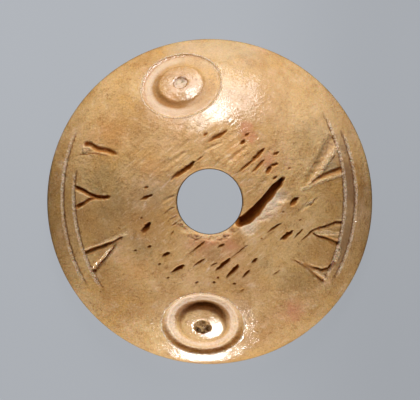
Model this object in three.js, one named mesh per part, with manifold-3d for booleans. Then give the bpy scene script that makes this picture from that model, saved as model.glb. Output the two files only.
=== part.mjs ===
import * as THREE from 'three';
import { mergeVertices } from 'three/addons/utils/BufferGeometryUtils.js';
import Module from 'manifold-3d';

// Bone spindle whorl: a flat-bottomed dome sawn from the ball of a leg bone, bored for its spindle and
// carved with two ring-and-dot marks, curved border lines and V strokes. Millimetres, Z up along the
// bore, origin in the middle of the flat underside. A place on the dome is a plan place, written
// [share of the whorl's radius, azimuth in degrees from +X]; the pores, which grew with the bone, are
// placed in millimetres.

// Body
const whorlDiameter = 38;
const crownHeight = 11.8; // underside to the dome at the lip of the bore
const rimHeight = 2.1; // underside to where the dome meets the upright side
const boreDiameter = 7.6;
const rimRounding = 1.6;
const footRounding = 0.8;
const lipRounding = 0.3;

// Ring-and-dot marks, cut square to the dome with a centre bit
const ringDiameter = 9.4;
const bossDiameter = 5.1;
const dotDiameter = 2;
const dotDepth = 0.4;
const rings = [
  { place: [0.744, 103.9], depth: 0.42 },
  { place: [0.769, 266.8], depth: 0.78 },
];
const grooveLean = 0.7; // below 1 the groove is deepest near the boss
const grooveFlatness = 3; // the higher, the flatter the floor and the steeper the walls

// Border lines: shallow arcs, flatter than the rim, each set in from the rim at its middle
const borderLines = [
  { middle: 187.9, inset: 1.86, curve: 20.2, from: 150, to: 217, width: 0.42 },
  { middle: 191.3, inset: 3.29, curve: 20.2, from: 164, to: 222, width: 0.42 },
  { middle: -5.7, inset: 3.32, curve: 20.9, from: -38, to: 41, width: 0.42 },
  { middle: -10.9, inset: 2.02, curve: 19.4, from: -35, to: 31, width: 0.42 },
];
const borderDepth = 0.18;
const borderRunOut = 0.15; // share of a line over which it rises clear at each end

// V strokes between the border lines, each deepening from its inner end to its blunt outer end
const strokes = [
  { inner: [0.614, 153.0], outer: [0.844, 155.5], width: 0.7, depth: 0.3 },
  { inner: [0.723, 156.6], outer: [0.844, 160.3], width: 0.3, depth: 0.12 },
  { inner: [0.595, 177.2], outer: [0.826, 174.0], width: 0.62, depth: 0.3 },
  { inner: [0.679, 178.0], outer: [0.817, 182.4], width: 0.6, depth: 0.28 },
  { inner: [0.561, 201.8], outer: [0.830, 202.2], width: 0.8, depth: 0.34 },
  { inner: [0.604, 202.5], outer: [0.830, 210.5], width: 0.85, depth: 0.34 },
  { inner: [0.599, 10.1], outer: [0.799, 23.7], width: 1.3, depth: 0.2 },
  { inner: [0.614, 9.9], outer: [0.829, 13.8], width: 0.7, depth: 0.24 },
  { inner: [0.622, -18.5], outer: [0.826, -9.2], width: 0.62, depth: 0.28 },
  { inner: [0.643, -16.7], outer: [0.836, -18.1], width: 0.66, depth: 0.28 },
  { inner: [0.591, -35.0], outer: [0.851, -34.7], width: 0.5, depth: 0.2 },
  { inner: [0.688, -33.4], outer: [0.850, -25.3], width: 0.66, depth: 0.28 },
];
const strokeRunIn = 0.8; // share of a stroke over which it sinks to its depth
const strokeRunOut = 0.06;

// Pores of the spongy bone, where the dome cuts its grain; middle in plan, long way, width, heading
const pores = [
  { at: [-3.1, 3.5], length: 3.9, width: 0.6, heading: 37 },
  { at: [0.9, 7.5], length: 2.9, width: 0.42, heading: 32 },
  { at: [4.7, 4.6], length: 4.6, width: 0.55, heading: 42 },
  { at: [7.0, 3.7], length: 1.5, width: 0.65, heading: 55 },
  { at: [9.8, 0.0], length: 1.5, width: 0.6, heading: 45 },
  { at: [7.4, -3.1], length: 2.3, width: 0.35, heading: 35 },
  { at: [8.85, -3.9], length: 1.9, width: 0.55, heading: 36 },
  { at: [1.6, -7.2], length: 2.4, width: 0.65, heading: 43 },
  { at: [2.6, -8.0], length: 2.3, width: 0.6, heading: 43 },
  { at: [4.2, -8.3], length: 1.5, width: 0.38, heading: 39 },
  { at: [-7.4, -3.0], length: 1.7, width: 0.85, heading: 60 },
  { at: [-3.7, -7.8], length: 1.8, width: 0.7, heading: 32 },
  { at: [-5.1, -6.1], length: 1.1, width: 0.45, heading: 35 },
  { at: [-7.3, 0.5], length: 1.7, width: 0.42, heading: 22 },
];
const poreDepthShare = 0.9; // of a pore's width

// The long crack that runs out of the bore along the grain, and the worn shelf on its lower side
const crack = { start: [0.21, -40], end: [0.462, 16.4], width: 1.5, depth: 1.4 };
const crackFloorShare = 0.55; // of its width at the dome
const shelf = { at: [7.3, -1.1], length: 8.2, width: 2.9, depth: 0.5, heading: 45 };

const whorlRadius = whorlDiameter / 2;
const boreRadius = boreDiameter / 2;
const cutterClearance = 1; // how far a cutter stands above what it cuts

// How finely the curved forms are faceted
const turnSegments = 72;
const domeSteps = 8;
const roundingSteps = 3;
const lipSteps = 2;
const grooveSegments = 36;
const grooveSteps = 6;
const dotSegments = 24;
const dotSteps = 4;
const rodSides = 6;
const borderSteps = 10;
const strokeSteps = 4;
const pitSides = 8;
const pitRings = 6;
const crackSides = 16;

// The dome is part of a ball that passes through the lip of the bore and the top of the rim.
const lipRadius = boreRadius + lipRounding;
const domeCentre =
  (lipRadius ** 2 - whorlRadius ** 2 + crownHeight ** 2 - rimHeight ** 2) / (2 * (crownHeight - rimHeight));
const domeRadius = Math.hypot(whorlRadius, rimHeight - domeCentre);

const wasm = await Module();
wasm.setup();

// Geometry and solid, back and forth

function solidOf(geometry) {
  const bare = geometry.clone();
  bare.deleteAttribute('normal');
  bare.deleteAttribute('uv');
  const merged = mergeVertices(bare);
  return new wasm.Manifold(new wasm.Mesh({
    numProp: 3,
    vertProperties: new Float32Array(merged.attributes.position.array),
    triVerts: new Uint32Array(merged.index.array),
  }));
}

function geometryOf(solid) {
  const mesh = solid.getMesh();
  const geometry = new THREE.BufferGeometry();
  geometry.setAttribute('position', new THREE.BufferAttribute(new Float32Array(mesh.vertProperties), 3));
  geometry.setIndex(new THREE.BufferAttribute(new Uint32Array(mesh.triVerts), 1));
  geometry.computeVertexNormals();
  return geometry;
}

// Places on the dome

function planPoint([share, azimuth]) {
  const angle = THREE.MathUtils.degToRad(azimuth);
  return new THREE.Vector2(Math.cos(angle), Math.sin(angle)).multiplyScalar(share * whorlRadius);
}

// The point of the dome over a plan place, lifted along the dome's normal
function onDome(plan, lift = 0) {
  const rise = Math.sqrt(Math.max(domeRadius ** 2 - plan.lengthSq(), 0));
  const normal = new THREE.Vector3(plan.x, plan.y, rise).normalize();
  return normal.multiplyScalar(domeRadius + lift).add(new THREE.Vector3(0, 0, domeCentre));
}

// Stands a cutter made round +Z at the dome over a plan place, its +Z along the dome's normal and
// its +X turned to a heading in plan
function standOnDome(geometry, plan, heading = 0) {
  const foot = onDome(plan);
  const normal = onDome(plan, 1).sub(foot);
  const angle = THREE.MathUtils.degToRad(heading);
  const along = new THREE.Vector3(Math.cos(angle), Math.sin(angle), 0);
  const across = normal.clone().cross(along).normalize();
  const turn = new THREE.Matrix4().makeBasis(across.clone().cross(normal), across, normal);
  return geometry.applyMatrix4(turn).translate(foot.x, foot.y, foot.z);
}

// Points of an arc in the half plane of a turned profile
function arcPoints(centreX, centreY, radius, from, to, steps) {
  const points = [];
  for (let i = 0; i <= steps; i++) {
    const angle = from + ((to - from) * i) / steps;
    points.push(new THREE.Vector2(centreX + radius * Math.cos(angle), centreY + radius * Math.sin(angle)));
  }
  return points;
}

function turned(profile, segments) {
  return new THREE.LatheGeometry(profile, segments).rotateX(Math.PI / 2);
}

// The plain body, turned round the bore: foot, side, rounded rim, dome, lip and bore
function bodyGeometry() {
  const rimCentreX = whorlRadius - rimRounding;
  const rimCentreY = domeCentre + Math.sqrt((domeRadius - rimRounding) ** 2 - rimCentreX ** 2);
  const foot = Math.min(footRounding, rimCentreY);
  const rimAngle = Math.atan2(rimCentreY - domeCentre, rimCentreX);
  const lipAngle = Math.atan2(crownHeight - domeCentre, lipRadius);
  const quarter = Math.PI / 2;
  const profile = [
    ...arcPoints(whorlRadius - foot, foot, foot, -quarter, 0, roundingSteps),
    ...arcPoints(rimCentreX, rimCentreY, rimRounding, 0, rimAngle, roundingSteps),
    ...arcPoints(0, domeCentre, domeRadius, rimAngle, lipAngle, domeSteps).slice(1),
    ...arcPoints(lipRadius, crownHeight - lipRounding, lipRounding, quarter, 2 * quarter, lipSteps).slice(1),
    ...arcPoints(lipRadius, lipRounding, lipRounding, 2 * quarter, 3 * quarter, lipSteps),
  ];
  profile.push(profile[0].clone());
  return turned(profile, turnSegments);
}

// Height of the dome beside a cutter's axis, as the cutter sees it
function domeFall(radius) {
  return Math.sqrt(domeRadius ** 2 - radius ** 2) - domeRadius;
}

// A ring-and-dot mark: a groove with a steep wall to the boss it leaves standing, and a round dot pit
function ringGrooveGeometry(depth) {
  const bossRadius = bossDiameter / 2;
  const grooveWidth = (ringDiameter - bossDiameter) / 2;
  const profile = [];
  for (let i = 0; i <= grooveSteps; i++) {
    const share = i / grooveSteps;
    const radius = bossRadius + share * grooveWidth;
    const cut = 1 - Math.abs(2 * share ** grooveLean - 1) ** grooveFlatness;
    profile.push(new THREE.Vector2(radius, domeFall(radius) - depth * cut));
  }
  profile.push(new THREE.Vector2(bossRadius + grooveWidth, cutterClearance));
  profile.push(new THREE.Vector2(bossRadius, cutterClearance));
  profile.push(profile[0].clone());
  return turned(profile, grooveSegments);
}

function dotGeometry() {
  const radius = dotDiameter / 2;
  const profile = [];
  for (let i = 0; i <= dotSteps; i++) {
    const angle = (Math.PI / 2) * (i / dotSteps);
    profile.push(new THREE.Vector2(radius * Math.sin(angle), domeFall(radius) - dotDepth * Math.cos(angle)));
  }
  profile.push(new THREE.Vector2(radius, cutterClearance));
  profile.push(new THREE.Vector2(0, cutterClearance));
  return turned(profile, dotSegments);
}

// A gouge: a rod drawn along plan points, sunk to its depth and rising clear over a share of its way
// at each end. The rod's radius is the one that leaves the width at that depth.
function gougeGeometry(plans, width, depth, runIn, runOut) {
  const rodRadius = (width ** 2 / 4 + depth ** 2) / (2 * depth);
  const last = plans.length - 1;
  const path = new THREE.CatmullRomCurve3(plans.map((plan, i) => {
    const share = i / last;
    const ease = Math.min(share / runIn, (1 - share) / runOut, 1);
    return onDome(plan, rodRadius - depth * Math.sin((ease * Math.PI) / 2));
  }));
  const section = new THREE.Shape(arcPoints(0, 0, rodRadius, 0, 2 * Math.PI, rodSides).slice(1));
  return new THREE.ExtrudeGeometry(section, { steps: 2 * last, bevelEnabled: false, extrudePath: path });
}

function borderGeometry({ middle, inset, curve, from, to, width }) {
  const offset = curve - (whorlRadius - inset);
  const plans = [];
  for (let i = 0; i <= borderSteps; i++) {
    const azimuth = from + ((to - from) * i) / borderSteps;
    const away = THREE.MathUtils.degToRad(azimuth - middle);
    const radius = Math.sqrt(curve ** 2 - (offset * Math.sin(away)) ** 2) - offset * Math.cos(away);
    plans.push(planPoint([radius / whorlRadius, azimuth]));
  }
  return gougeGeometry(plans, width, borderDepth, borderRunOut, borderRunOut);
}

function strokeGeometry({ inner, outer, width, depth }) {
  const start = planPoint(inner);
  const end = planPoint(outer);
  const plans = [];
  for (let i = 0; i <= strokeSteps; i++) {
    plans.push(start.clone().lerp(end, i / strokeSteps));
  }
  return gougeGeometry(plans, width, depth, strokeRunIn, strokeRunOut);
}

function poreGeometry({ at, length, width, depth = width * poreDepthShare, heading }) {
  const pit = new THREE.SphereGeometry(1, pitSides, pitRings).scale(length / 2, width / 2, depth);
  return standOnDome(pit, new THREE.Vector2(...at), heading);
}

// The crack: one long pit with steep sides, from the lip of the bore to its tip
function crackGeometry() {
  const start = planPoint(crack.start);
  const end = planPoint(crack.end);
  const middle = start.clone().lerp(end, 0.5);
  const heading = THREE.MathUtils.radToDeg(end.clone().sub(start).angle());
  const topShare = 1 + ((1 - crackFloorShare) * cutterClearance) / crack.depth;
  const pit = new THREE.CylinderGeometry(topShare, crackFloorShare, 1, crackSides).rotateX(Math.PI / 2);
  pit.scale(start.distanceTo(end) / 2, crack.width / 2, crack.depth + cutterClearance);
  pit.translate(0, 0, (cutterClearance - crack.depth) / 2);
  return standOnDome(pit, middle, heading);
}

function whorl() {
  const cutters = [
    ...rings.flatMap(({ place, depth }) => [
      standOnDome(ringGrooveGeometry(depth), planPoint(place)),
      standOnDome(dotGeometry(), planPoint(place)),
    ]),
    ...borderLines.map(borderGeometry),
    ...strokes.map(strokeGeometry),
    ...pores.map(poreGeometry),
    poreGeometry(shelf),
    crackGeometry(),
  ];
  const carved = cutters.reduce((solid, cutter) => solid.subtract(solidOf(cutter)), solidOf(bodyGeometry()));
  const bone = new THREE.MeshStandardMaterial({ color: 0xcf9f69, roughness: 0.42, metalness: 0 });
  const mesh = new THREE.Mesh(geometryOf(carved), bone);
  mesh.name = 'whorl';
  return mesh;
}

const group = new THREE.Group();
group.add(whorl());

export default group;
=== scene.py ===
import math

import bpy
import numpy as np
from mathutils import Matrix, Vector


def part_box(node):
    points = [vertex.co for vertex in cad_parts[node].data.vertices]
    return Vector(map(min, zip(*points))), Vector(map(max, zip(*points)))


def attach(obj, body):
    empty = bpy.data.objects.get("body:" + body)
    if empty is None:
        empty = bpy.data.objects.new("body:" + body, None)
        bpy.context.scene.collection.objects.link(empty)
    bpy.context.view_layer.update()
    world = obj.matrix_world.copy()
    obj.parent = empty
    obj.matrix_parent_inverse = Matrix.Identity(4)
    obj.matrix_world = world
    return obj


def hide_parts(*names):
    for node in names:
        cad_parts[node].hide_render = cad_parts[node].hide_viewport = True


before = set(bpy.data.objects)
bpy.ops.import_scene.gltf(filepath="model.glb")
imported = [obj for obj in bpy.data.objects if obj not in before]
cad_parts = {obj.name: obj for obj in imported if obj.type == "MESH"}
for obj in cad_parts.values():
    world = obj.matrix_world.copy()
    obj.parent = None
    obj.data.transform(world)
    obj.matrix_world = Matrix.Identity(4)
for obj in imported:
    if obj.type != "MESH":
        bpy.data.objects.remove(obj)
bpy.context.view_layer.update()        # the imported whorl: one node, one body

mm = 0.001
print("frame loaded")

# The body, in millimetres: overall sizes from the frame, roundings as on the CAD solid.
# Edge lengths set how fine the mesh is, from the pores to the base, and rows lie closer than an edge.
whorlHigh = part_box("whorl")[1]
body = {
    "radius": whorlHigh.x / mm,
    "crown": whorlHigh.z / mm,
    "rimHeight": 2.1,
    "boreRadius": 3.8,
    "rimRounding": 1.6,
    "footRounding": 0.8,
    "lipRounding": 0.3,
    "poreEdge": 0.1,
    "carvedEdge": 0.155,
    "rimEdge": 0.25,
    "baseEdge": 0.55,
    "boreEdge": 0.2,
    "footEdge": 0.3,
    "rowSpacing": 0.87,
    "arcPoints": 200,
    "poresEnd": 9.0,
    "carvingEnd": 17.4,
    "crowding": 0.36,
    "grainHeading": 41,
}
lipRadius = body["boreRadius"] + body["lipRounding"]
domeCentre = (lipRadius**2 - body["radius"] ** 2 + body["crown"] ** 2 - body["rimHeight"] ** 2) / (
    2 * (body["crown"] - body["rimHeight"])
)
domeRadius = math.hypot(body["radius"], body["rimHeight"] - domeCentre)


def softNoise(points, cell, seed):
    # Value noise: random heights at the corners of a cubic lattice of that cell size, eased between
    # the corners of a point's cell. The lattice repeats after 32 cells. Runs from -1 to 1.
    lattice = np.random.default_rng(seed).uniform(-1, 1, (32, 32, 32))
    place = points / cell + 512.37
    corner = np.floor(place).astype(int)
    ease = place - corner
    ease = ease * ease * (3 - 2 * ease)
    total = np.zeros(len(points))
    for step in np.ndindex(2, 2, 2):
        weight = np.prod(np.where(step, ease, 1 - ease), axis=1)
        i, j, k = ((corner + step) % 32).T
        total += weight * lattice[i, j, k]
    return total


def creased(points, cell, seed):
    # Noise with sharp creases, as on broken bone: 1 - 2 |noise|
    return 1 - 2 * np.abs(softNoise(points, cell, seed))


def alongGrain(points, heading, stretch):
    # The points with the plan turned so that X runs along the heading, and X shortened by the stretch
    turn = math.radians(heading)
    along = points[:, 0] * math.cos(turn) + points[:, 1] * math.sin(turn)
    across = points[:, 1] * math.cos(turn) - points[:, 0] * math.sin(turn)
    return np.column_stack([along / stretch, across, points[:, 2]])


def smooth(value, low, high):
    share = np.clip((value - low) / (high - low), 0, 1)
    return share * share * (3 - 2 * share)


def planPlace(share, azimuth):
    # A plan place from its share of the whorl's radius and its azimuth in degrees from +X
    turn = np.radians(azimuth)
    return np.stack([np.cos(turn), np.sin(turn)], axis=-1) * (np.asarray(share) * body["radius"])[..., None]


def onDome(plan):
    # The point of the dome over a plan place: z is the ball's centre plus the root of R^2 - x^2 - y^2
    rise = np.sqrt(domeRadius**2 - (plan**2).sum(-1))
    return np.concatenate([plan, (domeCentre + rise)[..., None]], axis=-1)


def arc(centreR, centreZ, radius, start, end, edge):
    # Points of an arc in the section, each with the mesh edge length wanted there
    turn = np.linspace(start, end, body["arcPoints"])
    return np.column_stack([
        centreR + radius * np.cos(turn), centreZ + radius * np.sin(turn), np.full(len(turn), edge),
    ])


def straight(start, end, edge):
    share = np.linspace(0, 1, body["arcPoints"])[:, None]
    return np.column_stack([np.array(start) * (1 - share) + np.array(end) * share, np.full(len(share), edge)])


def sectionRows():
    # The section as one closed loop: up the bore, over the lip, down the dome, round the rim and the
    # foot, and back under. It is laid out densely, then cut into rows at a share of the edge length.
    rim = body["rimRounding"]
    foot = body["footRounding"]
    lip = body["lipRounding"]
    rimCentreR = body["radius"] - rim
    rimCentreZ = domeCentre + math.sqrt((domeRadius - rim) ** 2 - rimCentreR**2)
    rimTurn = math.atan2(rimCentreZ - domeCentre, rimCentreR)
    lipTurn = math.atan2(body["crown"] - domeCentre, lipRadius)
    dome = arc(0, domeCentre, domeRadius, lipTurn, rimTurn, 0)
    pastPores = smooth(dome[:, 0], body["poresEnd"], body["poresEnd"] + 3)
    pastCarving = smooth(dome[:, 0], body["carvingEnd"], body["carvingEnd"] + 0.8)
    dome[:, 2] = body["poreEdge"] + (body["carvedEdge"] - body["poreEdge"]) * pastPores
    dome[:, 2] += (body["rimEdge"] - body["carvedEdge"]) * pastCarving
    quarter = math.pi / 2
    loop = np.concatenate([
        straight((body["boreRadius"], lip), (body["boreRadius"], body["crown"] - lip), body["boreEdge"]),
        arc(lipRadius, body["crown"] - lip, lip, 2 * quarter, quarter, body["poreEdge"]),
        dome,
        arc(rimCentreR, rimCentreZ, rim, rimTurn, 0, body["rimEdge"]),
        straight((body["radius"], rimCentreZ), (body["radius"], foot), body["footEdge"]),
        arc(body["radius"] - foot, foot, foot, 0, -quarter, body["footEdge"]),
        straight((body["radius"] - foot, 0), (lipRadius, 0), body["baseEdge"]),
        arc(lipRadius, lip, lip, -quarter, -2 * quarter, body["boreEdge"]),
    ])
    step = np.hypot(*np.diff(loop[:, :2], axis=0).T)
    between = body["rowSpacing"] * (loop[1:, 2] + loop[:-1, 2]) / 2
    spent = np.concatenate([[0], np.cumsum(step / between)])
    count = int(round(spent[-1]))
    wanted = np.arange(count) * spent[-1] / count
    return [np.interp(wanted, spent, loop[:, i]) for i in range(3)]


def bodyMesh():
    # Rows turned round Z: x = r cos t, y = r sin t, with as many columns in a row as its length asks,
    # crowded at left and right where the fine carving is: t = u - k sin(2u) / 2. Neighbouring rows
    # are zipped: each edge of a row takes the other row's nearest vertex.
    rowR, rowZ, rowEdge = sectionRows()
    columns = np.round(2 * math.pi * rowR / rowEdge).astype(int)
    first = np.concatenate([[0], np.cumsum(columns)])
    row = np.repeat(np.arange(len(columns)), columns)
    turn = 2 * math.pi * (np.arange(first[-1]) - first[row]) / columns[row]
    crowding = body["crowding"] * smooth(rowR[row], body["poresEnd"] + 0.5, body["poresEnd"] + 3.5)
    turn -= crowding * np.sin(2 * turn) / 2
    points = np.column_stack([rowR[row] * np.cos(turn), rowR[row] * np.sin(turn), rowZ[row]])
    faces = []
    for near in range(len(columns)):
        far = (near + 1) % len(columns)
        nearCount, farCount = columns[near], columns[far]
        i = np.arange(nearCount)
        mid = np.floor((i + 0.5) / nearCount * farCount + 0.5).astype(int) % farCount
        faces.append(np.column_stack([first[near] + i, first[far] + mid, first[near] + (i + 1) % nearCount]))
        j = np.arange(farCount)
        mid = np.ceil((j + 0.5) / farCount * nearCount - 0.5).astype(int) % nearCount
        faces.append(np.column_stack([first[near] + mid, first[far] + j, first[far] + (j + 1) % farCount]))
    return points, np.concatenate(faces)


# Ring-and-dot marks. Place on the dome and radius of the outer edge; depth of the groove at the boss, how
# much of that its floor rises and how broad its outer wall is as shares, and height of the ridge left in
# the floor; depth of the shoulder worn outside it; how far the boss's edge is worn and its top leans;
# the filled dot and the lumps in it; how strong the painted shade at the boss's foot is. Sides are
# azimuths seen from the mark's middle: where the shoulder is worn, where the painted shade at the boss's
# foot is thickest, where painted light makes the floor palest, where painted shade makes the outer wall
# darkest, and the way the boss leans.
ringMarks = {
    "bossRadius": 2.56,
    "ridgePlace": 0.47,
    "marks": [
        {"share": 0.744, "azimuth": 103.9, "outerRadius": 4.64,
         "depth": 0.34, "rise": 0.5, "outerWall": 0.1, "ridge": 0.02, "worn": 0.03, "edgeWear": 0.17,
         "lean": 0.0, "dotRadius": 0.82, "dotDepth": 0.22, "lumps": 0.13, "dirtAndShade": 0.6,
         "wornSide": 300, "shadeSide": 225, "paleSide": 195, "wallSide": 130, "leanSide": 0},
        {"share": 0.769, "azimuth": 266.8, "outerRadius": 4.74,
         "depth": 0.72, "rise": 0.1, "outerWall": 0.3, "ridge": 0.035, "worn": 0.28, "edgeWear": 0.05,
         "lean": 0.07, "dotRadius": 1.0, "dotDepth": 0.34, "lumps": 0.2, "dirtAndShade": 1.0,
         "wornSide": 266, "shadeSide": 92, "paleSide": 120, "wallSide": 262, "leanSide": 190},
    ],
}


def markAxes():
    # Foot and axis of each mark: the axis is the dome's normal at the foot
    feet = [onDome(planPlace(mark["share"], mark["azimuth"])) for mark in ringMarks["marks"]]
    return [(foot, (foot - [0, 0, domeCentre]) / domeRadius) for foot in feet]


def ringFields(points):
    # Round each mark's axis, s runs from 0 at the boss to 1 at the outer edge. The groove is three
    # eased steps multiplied: down the boss, up the floor by its rise, and up the outer wall, less a
    # bell-shaped ridge. The shoulder is worn straight down over 0.8 of s. The boss's edge is worn most on
    # the shoulder's side, its top leans and is a little rounder than the dome, and the dot is a lumpy
    # filled pit. Gives the sunk vector and the fields: painted shade at the boss's foot on one side, painted
    # light on one side of the floor, painted shade on one side of the outer wall, and the ring's face.
    sunk = np.zeros_like(points)
    fields = {name: np.zeros(len(points)) for name in ("crevice", "paleFloor", "outerWall", "ringFace")}
    boss = ringMarks["bossRadius"]
    for i, (mark, (foot, axis)) in enumerate(zip(ringMarks["marks"], markAxes())):
        offset = points - foot
        height = offset @ axis
        aside = offset - height[:, None] * axis
        radius = np.linalg.norm(aside, axis=1)
        near = smooth(np.abs(height), 6, 4) * smooth(radius, 8, 7)
        away = aside[:, :2] / np.maximum(radius, 0.1)[:, None]
        sides = [side for side in mark if side.endswith("Side")]
        facing = {side: away @ planPlace(1, mark[side]) / body["radius"] for side in sides}
        wobble = 0.05 * softNoise(points, 1.4, 40 + i) + 0.03 * softNoise(points, 0.35, 42 + i)
        s = (radius + wobble - boss) / (mark["outerRadius"] - boss)
        floor = 1 - mark["rise"] * smooth(s, 0.25, 0.95)
        floor -= mark["ridge"] / mark["depth"] * np.exp(-(((s - ringMarks["ridgePlace"]) / 0.1) ** 2))
        cut = smooth(s, -0.03, 0.22) * floor * smooth(s, 1.02, 1.02 - mark["outerWall"])
        shoulder = smooth(s, 0.6, 1) * np.clip(1 - (s - 1) / 0.8, 0, 1) ** 1.15
        shoulder *= smooth(facing["wornSide"], 0.3, 0.85)
        pit = smooth(radius / mark["dotRadius"] + 0.14 * softNoise(points, 0.5, 48 + i), 1.05, 0.75)
        lumps = softNoise(points, 0.45, 44 + i) + 0.7 * softNoise(points, 0.22, 46 + i)
        bossTop = smooth(s, 0.2, 0)
        bossEdge = smooth(s, -0.6, 0.05) * bossTop * (0.25 + 0.75 * smooth(facing["wornSide"], -0.1, 0.8))
        depth = mark["depth"] * cut + mark["worn"] * shoulder + mark["edgeWear"] * bossEdge
        depth += mark["lean"] * bossTop * (radius * facing["leanSide"] + 0.3 * radius**2)
        depth += (mark["dotDepth"] + mark["lumps"] * lumps) * pit
        sunk -= axis * (depth * near)[:, None]
        # Painted shade at the boss's foot, thickest on the side where the shadow falls; below, painted light
        # on one side of the floor and painted shade on one side of the outer wall
        dirtAndShade = smooth(np.abs(s - 0.2), 0.34, 0.1) * smooth(facing["shadeSide"], -0.4, 0.8) * mark["dirtAndShade"]
        found = {"crevice": dirtAndShade, "paleFloor": smooth(facing["paleSide"], -1, 0.7),
                 "outerWall": smooth(facing["wallSide"], -0.3, 0.7), "ringFace": 1}
        for name, value in found.items():
            fields[name] = np.maximum(fields[name], value * near)
    return sunk, fields


def nearPath(points, path):
    # Distance from each point to a path of straight steps in space, and its share of the way along
    best = np.full(len(points), np.inf)
    way = np.zeros(len(points))
    for i in range(len(path) - 1):
        step = path[i + 1] - path[i]
        share = np.clip((points - path[i]) @ step / (step @ step), 0, 1)
        gap = np.linalg.norm(points - path[i] - share[:, None] * step, axis=1)
        closer = gap < best
        best[closer] = gap[closer]
        way[closer] = (i + share[closer]) / (len(path) - 1)
    return best, way


# Border lines: flat arcs near the rim. Each is part of a circle whose radius is the curve, and which
# is nearest the rim at the middle azimuth, by the inset.
borderLines = {
    "depth": 0.15,
    "width": 0.4,
    "lines": [
        {"middle": 187.9, "inset": 1.86, "curve": 20.2, "start": 150, "end": 217},
        {"middle": 191.3, "inset": 3.29, "curve": 20.2, "start": 164, "end": 222},
        {"middle": 354.3, "inset": 3.32, "curve": 20.9, "start": 322, "end": 401},
        {"middle": 349.1, "inset": 2.02, "curve": 19.4, "start": 325, "end": 391},
    ],
}


def borderCircles():
    # Plan centre and radius of each line's circle
    circles = []
    for line in borderLines["lines"]:
        offCentre = line["curve"] - (body["radius"] - line["inset"])
        centre = -planPlace(1, line["middle"]) / body["radius"] * offCentre
        circles.append((centre, line["curve"]))
    return circles


def borderFields(points):
    # Across a line, t is the distance from its circle over half the width, and the groove is
    # 1 - |t|^1.7 deep. The line's strength eases off to 0 at both ends. Gives the depth, the strength,
    # and the worn band between the last two lines.
    depth = np.zeros(len(points))
    reach = np.zeros(len(points))
    band = np.ones(len(points))
    azimuth = np.degrees(np.arctan2(points[:, 1], points[:, 0]))
    crumble = softNoise(points, 0.26, 60)
    for i, (line, (centre, radius)) in enumerate(zip(borderLines["lines"], borderCircles())):
        share = (azimuth - line["start"]) % 360 / (line["end"] - line["start"])
        ease = smooth(share, 0, 0.16) * smooth(share, 1, 0.84) * (points[:, 2] > 2)
        gap = np.linalg.norm(points[:, :2] - centre, axis=1) - radius
        across = np.abs(gap + 0.04 * crumble) / (borderLines["width"] / 2)
        depth = np.maximum(depth, ease * np.clip(1 - across**1.7, 0, 1))
        reach = np.maximum(reach, ease * smooth(np.abs(gap), 0.65, 0.5))
        if i >= 2:
            band *= ease * smooth(gap if i == 2 else -gap, -0.1, 0.15)
    return borderLines["depth"] * depth * (1 + 0.7 * crumble), reach, band


# V strokes: plan places in millimetres from the inner end to the blunt outer end, the width there,
# the depth as a share of the width, and how strongly the cut is darkened with painted shade. A cut
# narrows to the inner width, as a share, unless it has its own.
strokes = {
    "innerWidth": 0.6,
    "wander": 0.09,
    "cuts": [
        {"path": [(-10.4, 5.3), (-11.9, 5.88), (-13.05, 6.1), (-13.8, 6.55), (-14.6, 6.65)],
         "width": 0.7, "inner": 0.95, "deep": 0.42, "dirtAndShade": 0.95},
        {"path": [(-12.6, 5.45), (-13.6, 5.5), (-15.1, 5.4)], "width": 0.28, "deep": 0.4, "dirtAndShade": 0.7},
        {"path": [(-11.3, 0.55), (-12.2, 0.45), (-13.05, 0.47), (-13.95, 0.83), (-14.65, 1.25),
                  (-15.6, 1.65)],
         "width": 0.64, "inner": 1.0, "deep": 0.5, "dirtAndShade": 1.0},
        {"path": [(-12.9, 0.45), (-13.4, 0.4), (-13.95, 0.2), (-14.65, -0.28), (-15.5, -0.65)],
         "width": 0.64, "deep": 0.46, "dirtAndShade": 1.0},
        {"path": [(-9.9, -3.95), (-10.6, -4.35), (-11.4, -4.8), (-12.3, -5.15), (-14.6, -5.95)],
         "width": 0.86, "deep": 0.42, "dirtAndShade": 0.35},
        {"path": [(-10.6, -4.5), (-11.3, -5.6), (-12.2, -6.7), (-13.0, -7.5), (-13.55, -8.15)],
         "width": 0.8, "deep": 0.48, "dirtAndShade": 0.5},
        {"path": [(11.0, 1.9), (12.0, 3.4), (12.9, 4.8), (13.6, 6.0), (14.5, 7.4)],
         "width": 1.8, "deep": 0.12, "dirtAndShade": 0.2},
        {"path": [(11.5, 2.0), (12.7, 2.75), (14.1, 3.35), (15.3, 3.75)],
         "width": 0.75, "deep": 0.34, "dirtAndShade": 0.6},
        {"path": [(11.2, -3.75), (11.9, -3.35), (12.8, -3.05), (13.7, -2.85), (14.6, -2.45), (15.5, -2.5)],
         "width": 0.7, "deep": 0.34, "dirtAndShade": 0.5},
        {"path": [(11.7, -3.5), (12.5, -4.0), (13.4, -4.25), (14.3, -4.6), (15.1, -4.95)],
         "width": 0.76, "deep": 0.34, "dirtAndShade": 0.55},
        {"path": [(9.2, -6.45), (10.5, -7.1), (11.5, -7.75), (12.4, -8.6), (13.3, -9.2)],
         "width": 0.55, "deep": 0.3, "dirtAndShade": 0.5},
        {"path": [(10.6, -7.0), (11.6, -7.45), (13.0, -7.95), (13.9, -7.65), (14.6, -6.9)],
         "width": 0.75, "deep": 0.32, "dirtAndShade": 0.5},
    ],
}
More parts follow.
